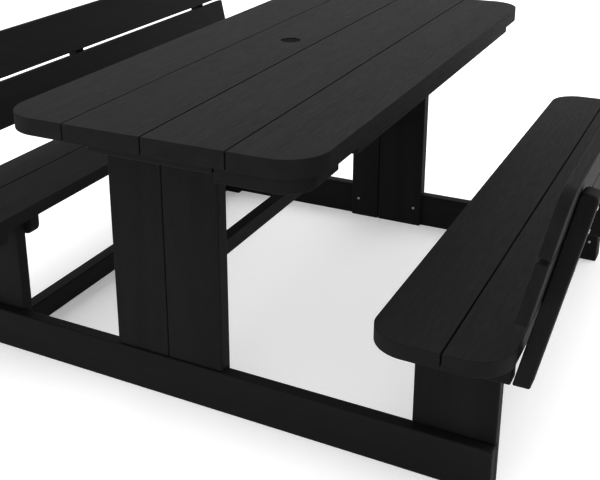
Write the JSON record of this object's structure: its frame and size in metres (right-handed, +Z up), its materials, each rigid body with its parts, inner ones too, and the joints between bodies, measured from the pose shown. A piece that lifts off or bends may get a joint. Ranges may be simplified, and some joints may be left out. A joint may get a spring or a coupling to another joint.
{
  "type": "picnic table",
  "caption": "Plastic lumber picnic table with attached benches, leaning slatted backs, floor frame and a capped umbrella hole.",
  "frame": {"origin": "on the floor, under the middle of the benches and backs", "axes": "+Z up, +X along the table towards the far end, +Y towards the left bench"},
  "size_m": [1.65, 1.6368, 0.7205],
  "materials": {
    "lumber": "fine brushed grain, satin",
    "cap": "satin moulded",
    "screws": "stainless screw heads"
  },
  "bodies": {
    "root": {"centre_rail": "lumber", "far_base_board": "lumber", "far_inner_cleat": "lumber", "far_leg_left_board": "lumber", "far_leg_right_board": "lumber", "far_outer_cleat": "lumber", "left_back_far_upright": "lumber", "left_back_lower_board": "lumber", "left_back_middle_upright": "lumber", "left_back_near_upright": "lumber", "left_back_upper_board": "lumber", "left_bench_far_arm": "lumber", "left_bench_far_leg": "lumber", "left_bench_far_leg_cleat": "lumber", "left_bench_middle_arm": "lumber", "left_bench_near_arm": "lumber", "left_bench_near_leg": "lumber", "left_bench_near_leg_cleat": "lumber", "left_floor_rail": "lumber", "left_seat_front_plank": "lumber", "left_seat_rear_plank": "lumber", "middle_cleat": "lumber", "near_base_board": "lumber", "near_inner_cleat": "lumber", "near_leg_left_board": "lumber", "near_leg_right_board": "lumber", "near_outer_cleat": "lumber", "right_back_far_upright": "lumber", "right_back_lower_board": "lumber", "right_back_middle_upright": "lumber", "right_back_near_upright": "lumber", "right_back_upper_board": "lumber", "right_bench_far_arm": "lumber", "right_bench_far_leg": "lumber", "right_bench_far_leg_cleat": "lumber", "right_bench_middle_arm": "lumber", "right_bench_near_arm": "lumber", "right_bench_near_leg": "lumber", "right_bench_near_leg_cleat": "lumber", "right_floor_rail": "lumber", "right_seat_front_plank": "lumber", "right_seat_rear_plank": "lumber", "top_plank_inner_left": "lumber", "top_plank_inner_right": "lumber", "top_plank_outer_left": "lumber", "top_plank_outer_right": "lumber", "umbrella_hole_cap": "cap", "under_board_left": "lumber", "under_board_near_corner": "lumber", "under_board_right": "lumber"}
  },
  "joints": []
}
